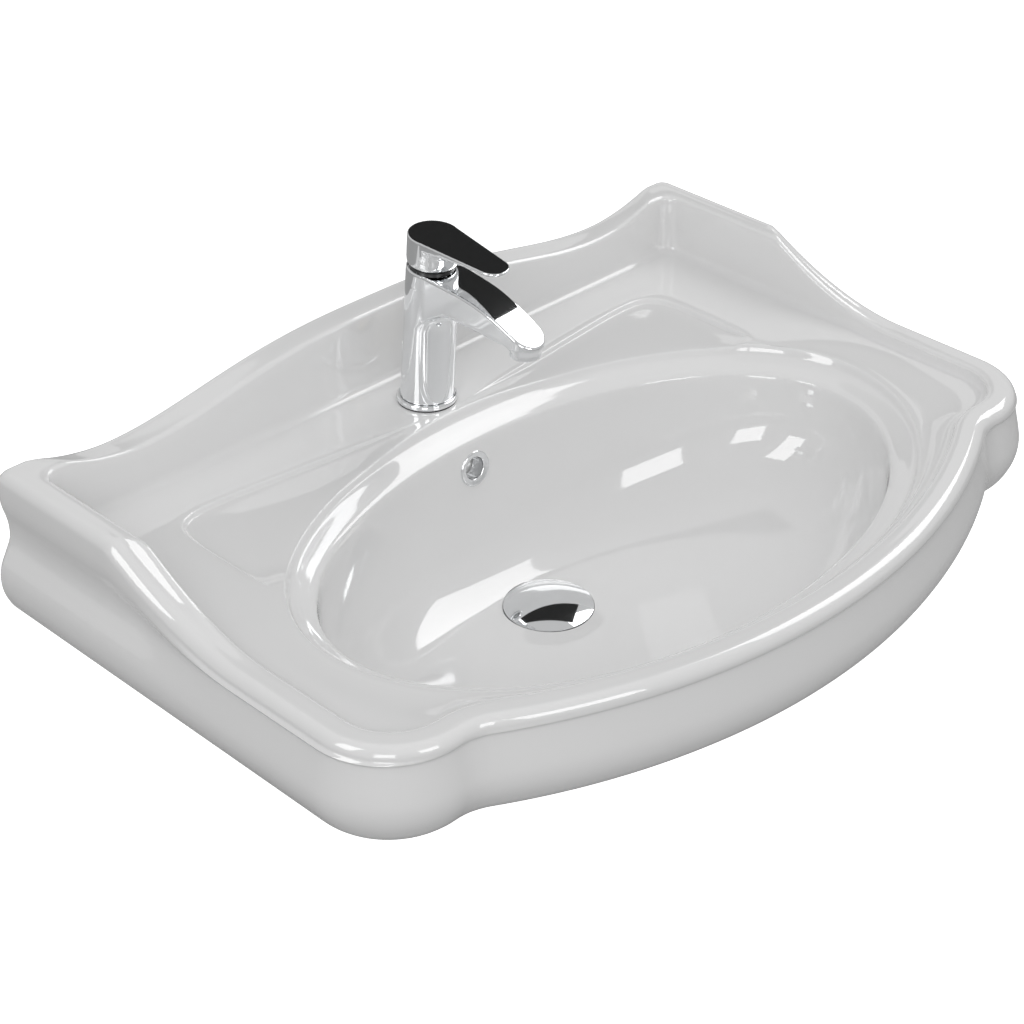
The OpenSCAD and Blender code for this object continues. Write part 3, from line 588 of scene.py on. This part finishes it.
def tap_body_field(x, y, z):
    ly, lz = leaned(y, z)
    column = tube(x, ly, mix(COLUMN_R0, COLUMN_R1, np.clip(z / BODY_TOP, 0, 1)))
    plan = round_end_plan(x, y, -9, 17.2, OUTLET_Y, NOSE_R)
    under = np.interp(y, [-100, -60, -20], [79.6, 82.6, 83.8])
    spout = soft_max(plan, under - z, 5.0)
    outlet = soft_max(tube(x, y - OUTLET_Y, OUTLET_R + 0.06 * (z - OUTLET_Z)), z - 92, 1.0)
    outlet = soft_max(outlet, OUTLET_Z - z, 1.2)
    spout = soft_min(spout, outlet, 3.0)
    # The fillet under the spout fades out towards the flat top, where the sides run straight
    fillet = mix(20.0, 1.5, ramp((z - 82) / 16))
    body = np.maximum(soft_min(column, spout, fillet), soft_min(column, plan, 2.0))
    drop = 0.0036 * np.maximum(0, -45 - y) ** 2
    body = soft_max(body, lz - BODY_TOP + drop, 1.6)
    body = soft_max(body, BODY_BASE - z, 0.8)
    # Hollow base, inlets, cartridge chamber and aerator seat
    body = soft_max(body, -np.maximum(tube(x, y, BASE_CAVITY_R), z - WEB_Z), 0.8)
    inlets = np.maximum(tube(np.abs(x) - INLET_X, y - INLET_Y, INLET_R), z - WEB_Z - 12)
    body = np.maximum(body, -inlets)
    body = np.maximum(body, -np.maximum(tube(x, ly, CHAMBER_R), CHAMBER_Z - lz))
    return np.maximum(body, -np.maximum(tube(x, y - OUTLET_Y, AERATOR_R), z - OUTLET_Z - 9))


HUB_Z, HUB_R, LEVER_TOP = 111.5, 18.3, 134.0
LEVER_Y1, LEVER_TIP_R = -57.6, 11.4
LEVER_CAVITY_R, LEVER_BOSS_R, SOCKET_HALF, GRUB_R, GRUB_Z = 15.9, 6.6, 3.6, 2.55, 119


def lever_field(x, y, z):
    hub = tube(x, y, HUB_R - 0.35 * ramp((HUB_Z + 6 - z) / 6))
    hub = soft_max(hub, HUB_Z - z, 3.5)
    plan = round_end_plan(x, y, 0, HUB_R - 0.2, LEVER_Y1, LEVER_TIP_R)
    under = LEVER_TOP - np.interp(y, [LEVER_Y1 - LEVER_TIP_R, -40, -HUB_R, 0], [2.4, 3.2, 5.6, 7.0])
    paddle = soft_max(plan, under - z, 1.6)
    lever = soft_min(hub, paddle, mix(7.0, 0.4, ramp((z - 123) / 6)))
    lever = np.maximum(lever, np.minimum(tube(x, y, HUB_R), plan))
    lever = soft_max(lever, z - LEVER_TOP, 1.2)
    # Hollow hub with the boss, square socket and grub screw that hold it on the spindle
    cavity = np.maximum(tube(x, y, LEVER_CAVITY_R), z - 126)
    boss = np.maximum(tube(x, y, LEVER_BOSS_R), 115.5 - z)
    lever = np.maximum(lever, -np.maximum(cavity, -boss))
    socket = np.maximum(np.maximum(np.abs(x) - SOCKET_HALF, np.abs(y) - SOCKET_HALF), z - 123.1)
    lever = np.maximum(lever, -socket)
    grub = np.maximum(tube(x, z - GRUB_Z, GRUB_R), 3 - y)
    return np.maximum(lever, -grub)


def make_tap():
    """The casting, the lever and the ring at the tap's foot."""
    body = surface_from_field(
        "tap_casting", tap_body_field, (-23, -115, 3), (23, 23, 113), TAP_PLACE
    )
    lever = surface_from_field(
        "tap_lever", lever_field, (-21, -72, 110), (21, 21, 135.5), LEAN_PLACE
    )
    profile = [(17, 1), (21.1, 1)] + arc(21.1, 1.5, 0.5, -90, 0, 4)
    profile += [(21.6, 2.0)] + arc(20.2, 3.2, 1.4, 0, 90, 8) + [(17, 4.6)]
    return body, lever, lathe("tap_skirt_ring", profile, TAP_PLACE)


def make_aerator():
    place = TAP_PLACE @ Matrix.Translation((0, OUTLET_Y, OUTLET_Z))
    profile = [(7.6, 8), (7.6, 2.6), (7.1, 2.1), (7.1, 0.9)] + arc(7.5, 0.4, 0.4, 180, 270, 4)
    profile += arc(9.1, 0.4, 0.4, -90, 0, 4) + [(9.5, 8)]
    return lathe("aerator_shell", profile, place, 96)


def make_overflow():
    profile = [(8.2, 10), (8.2, 0.2)] + arc(9.2, -0.6, 1.0, 180, 250, 6) + [(10.2, -1.9)]
    profile += arc(12.0, -1.2, 1.2, 260, 360, 10) + [(13.2, 0.0), (11.5, 0.2), (11.5, 10)]
    return lathe("overflow_bezel", profile, overflow_place(), 96)


def make_plug():
    place = Matrix.Translation((0, -DRAIN_Y, WASTE_Z))
    base, rise, r = 1.4, 6.0, 32.3
    dome_r = (r * r + (rise - 1.2) ** 2) / (2 * (rise - 1.2))
    dome_z = base + rise - dome_r
    profile = [(0, base), (29, base)] + arc(r - 0.7, base + 0.7, 0.7, -90, 0, 5)
    for k in np.linspace(r - 0.15, 0, 28):
        profile.append((k, dome_z + math.sqrt(dome_r**2 - k * k)))
    return lathe("plug_dome", profile, place, 160, closed=False)


# ------------------------------------------------------------------ Materials
def new_material(name):
    m = bpy.data.materials.new(name)
    m.use_nodes = True
    return m, m.node_tree, m.node_tree.nodes["Principled BSDF"]


def link(tree, a, out, b, into):
    tree.links.new(a.outputs[out], b.inputs[into])


def noise(tree, scale, detail=2.0, coords=None):
    n = tree.nodes.new("ShaderNodeTexNoise")
    n.inputs["Scale"].default_value = scale
    n.inputs["Detail"].default_value = detail
    if coords:
        tree.links.new(coords, n.inputs["Vector"])
    return n


def position(tree):
    return tree.nodes.new("ShaderNodeTexCoord").outputs["Object"]


def colour_mix(tree, factor, a, b):
    n = tree.nodes.new("ShaderNodeMix")
    n.data_type = "RGBA"
    tree.links.new(factor, n.inputs["Factor"])
    n.inputs[6].default_value = (*a, 1)
    n.inputs[7].default_value = (*b, 1)
    return n


def spread(tree, value, lo, hi):
    n = tree.nodes.new("ShaderNodeMapRange")
    tree.links.new(value, n.inputs["Value"])
    n.inputs["To Min"].default_value = lo
    n.inputs["To Max"].default_value = hi
    return n


def bump(tree, shader, height, strength, distance):
    n = tree.nodes.new("ShaderNodeBump")
    n.inputs["Strength"].default_value = strength
    n.inputs["Distance"].default_value = distance
    tree.links.new(height, n.inputs["Height"])
    link(tree, n, "Normal", shader, "Normal")


def glazed_china():
    """White vitreous china: a bright body under a clear glaze that has a slight orange peel."""
    m, t, s = new_material("glazed_china")
    p = position(t)
    broad = noise(t, 6.0, 2.0, p)
    body = colour_mix(t, broad.outputs["Fac"], (0.80, 0.80, 0.80), (0.84, 0.84, 0.84))
    link(t, body, 2, s, "Base Color")
    peel = noise(t, 90.0, 1.0, p)
    link(t, spread(t, peel.outputs["Fac"], 0.05, 0.08), "Result", s, "Roughness")
    bump(t, s, peel.outputs["Fac"], 0.04, 0.0003)
    s.inputs["Coat Weight"].default_value = 0.6
    s.inputs["Coat Roughness"].default_value = 0.03
    s.inputs["IOR"].default_value = 1.5
    return m


def metal(name, colour, rough_lo, rough_hi, scale, stretch=(1, 1, 1), bumps=0.02):
    m, t, s = new_material(name)
    p = position(t)
    mapping = t.nodes.new("ShaderNodeMapping")
    mapping.inputs["Scale"].default_value = stretch
    t.links.new(p, mapping.inputs["Vector"])
    n = noise(t, scale, 3.0, mapping.outputs["Vector"])
    dark = tuple(c * 0.93 for c in colour)
    link(t, colour_mix(t, n.outputs["Fac"], dark, colour), 2, s, "Base Color")
    link(t, spread(t, n.outputs["Fac"], rough_lo, rough_hi), "Result", s, "Roughness")
    bump(t, s, n.outputs["Fac"], bumps, 0.0002)
    s.inputs["Metallic"].default_value = 1.0
    return m


def soft_material(name, colour, rough_lo, rough_hi, scale, bumps, sheen=0.0):
    m, t, s = new_material(name)
    n = noise(t, scale, 4.0, position(t))
    dark = tuple(c * 0.85 for c in colour)
    link(t, colour_mix(t, n.outputs["Fac"], dark, colour), 2, s, "Base Color")
    link(t, spread(t, n.outputs["Fac"], rough_lo, rough_hi), "Result", s, "Roughness")
    bump(t, s, n.outputs["Fac"], bumps, 0.0002)
    s.inputs["Sheen Weight"].default_value = sheen
    return m


def make_materials():
    return {
        "glazed_china": glazed_china(),
        "chrome": metal("chrome", (0.86, 0.87, 0.88), 0.03, 0.06, 40.0, bumps=0.004),
        "brass": metal("brass", (0.83, 0.64, 0.34), 0.22, 0.36, 220.0, (1, 1, 8), 0.15),
        "steel": metal("steel", (0.66, 0.66, 0.67), 0.20, 0.34, 260.0, (1, 1, 10), 0.15),
        "black_rubber": soft_material("black_rubber", (0.03, 0.03, 0.032), 0.55, 0.75, 900.0, 0.25, 0.1),
        "grey_plastic": soft_material("grey_plastic", (0.55, 0.56, 0.57), 0.35, 0.5, 600.0, 0.12),
        "blue_plastic": soft_material("blue_plastic", (0.10, 0.20, 0.42), 0.35, 0.5, 600.0, 0.12),
        "white_plastic": soft_material("white_plastic", (0.85, 0.85, 0.83), 0.35, 0.5, 600.0, 0.12),
        "black_plastic": soft_material("black_plastic", (0.012, 0.012, 0.013), 0.25, 0.4, 700.0, 0.08),
        "ceramic_disc": soft_material("ceramic_disc", (0.86, 0.84, 0.78), 0.12, 0.22, 800.0, 0.05),
    }


# ------------------------------------------------------------------ Stage and lights
STAGE_SIZE, LIGHT_DISTANCE = 12, 2.2
FLOOR_GAP, SHEET_GAP = 0.10, 0.09


def emitter(name, colour, strength):
    """A matt surface that also glows evenly."""
    m, t, s = new_material(name)
    n = noise(t, 1.5, 2.0, position(t))
    faint = tuple(c * 0.97 for c in colour)
    link(t, colour_mix(t, n.outputs["Fac"], faint, colour), 2, s, "Base Color")
    s.inputs["Roughness"].default_value = 0.95
    s.inputs["Emission Color"].default_value = (1, 1, 1, 1)
    s.inputs["Emission Strength"].default_value = strength
    return m


def stage_plane(name, width, height, place, material, seen_by_camera, seen_in_gloss, seen_by_matt=False):
    w, h = width / 2, height / 2
    mesh = bpy.data.meshes.new(name)
    mesh.from_pydata([(-w, -h, 0), (w, -h, 0), (w, h, 0), (-w, h, 0)], [], [(0, 1, 2, 3)])
    mesh.materials.append(material)
    obj = bpy.data.objects.new(name, mesh)
    obj.matrix_world = place
    obj.visible_camera = seen_by_camera
    obj.visible_glossy = seen_in_gloss
    obj.visible_diffuse = seen_by_matt
    obj.visible_shadow = False
    bpy.context.scene.collection.objects.link(obj)


def facing(azimuth, elevation, distance):
    """Placement at that direction and distance from the middle of the basin, facing it."""
    a, e = math.radians(azimuth), math.radians(elevation)
    out = Vector((math.sin(a) * math.cos(e), -math.cos(a) * math.cos(e), math.sin(e)))
    target = Vector((0, (cad_lo.y + cad_hi.y) / 2, DECK_Z * MM))
    return Matrix.Translation(target + out * distance) @ out.to_track_quat("Z", "Y").to_matrix().to_4x4()


def softbox(name, azimuth, elevation, width, height, brightness, lights_matt=False):
    """A rectangular light that faces the basin, either to light matt surfaces or to be reflected."""
    data = bpy.data.lights.new(name, "AREA")
    data.shape = "RECTANGLE"
    data.size, data.size_y = width, height
    data.energy = brightness * math.pi * width * height
    light = bpy.data.objects.new(name, data)
    light.matrix_world = facing(azimuth, elevation, LIGHT_DISTANCE)
    light.visible_diffuse = lights_matt
    light.visible_glossy = not lights_matt
    bpy.context.scene.collection.objects.link(light)


def make_stage():
    # The floor only shows in the picture
    floor = Matrix.Translation((0, 0, cad_lo.z - FLOOR_GAP))
    white = emitter("studio_floor", (0.92, 0.92, 0.92), 1.0)
    stage_plane("studio_floor", STAGE_SIZE, STAGE_SIZE, floor, white, True, False)
    # A grey sheet just above it keeps the underside of the basin in shade
    sheet = Matrix.Translation((0, 0, cad_lo.z - SHEET_GAP))
    grey = emitter("grey_sheet", (0.45, 0.45, 0.45), 0.0)
    stage_plane("grey_sheet", STAGE_SIZE, STAGE_SIZE, sheet, grey, False, True, True)
    # A dark card behind the basin gives the chrome its contrast
    card = emitter("dark_card", (0.03, 0.03, 0.03), 0.0)
    stage_plane("dark_card", 1.15, 1.25, facing(137, 40, 2.0), card, False, True)


def make_lights():
    world = bpy.data.worlds.new("studio")
    world.use_nodes = True
    world.node_tree.nodes["Background"].inputs["Color"].default_value = (1, 1, 1, 1)
    world.node_tree.nodes["Background"].inputs["Strength"].default_value = 0.58
    bpy.context.scene.world = world
    softbox("window_right", 90, 44, 1.4, 1.1, 3.6)
    softbox("window_left", -97, 36, 0.7, 1.3, 4.5)
    softbox("window_front", -8, 27, 0.75, 0.9, 4.5)
    softbox("window_front_left", -54, 17, 0.75, 0.9, 4.5)
    softbox("key", 100, 50, 1.2, 1.2, 1.8, True)
    softbox("fill", -50, 35, 1.2, 1.2, 2.7, True)
    bpy.context.scene.view_settings.view_transform = "Standard"


# ------------------------------------------------------------------ Assembly
def dress(obj, body, slot_name, materials, *nodes):
    obj.data.materials.clear()
    obj.data.materials.append(materials[slot_name])
    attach(obj, body)
    if nodes:
        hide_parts(*nodes)


def assemble():
    materials = make_materials()
    slots = {s["node"]: s["material_slot"] for s in frame["record"]["subparts"]}
    for name, node in frame["nodes"].items():
        node.data.materials.clear()
        node.data.materials.append(materials[slots[name]])
    basin = make_basin()
    crease(basin, 40)
    dress(basin, "basin_unit", "glazed_china", materials, "basin")
    body, lever, ring = make_tap()
    crease(body, 50)
    crease(lever, 50)
    dress(body, "basin_unit", "chrome", materials, "tap_body")
    dress(lever, "lever_unit", "chrome", materials, "lever_handle")
    dress(ring, "basin_unit", "chrome", materials, "tap_base_ring")
    for maker, body_name, node in (
        (make_aerator, "basin_unit", "aerator_housing"),
        (make_overflow, "basin_unit", "overflow_ring"),
        (make_plug, "plug", "plug_cap"),
    ):
        piece = maker()
        crease(piece, 30)
        dress(piece, body_name, "chrome", materials, node)


make_stage()
make_lights()
assemble()
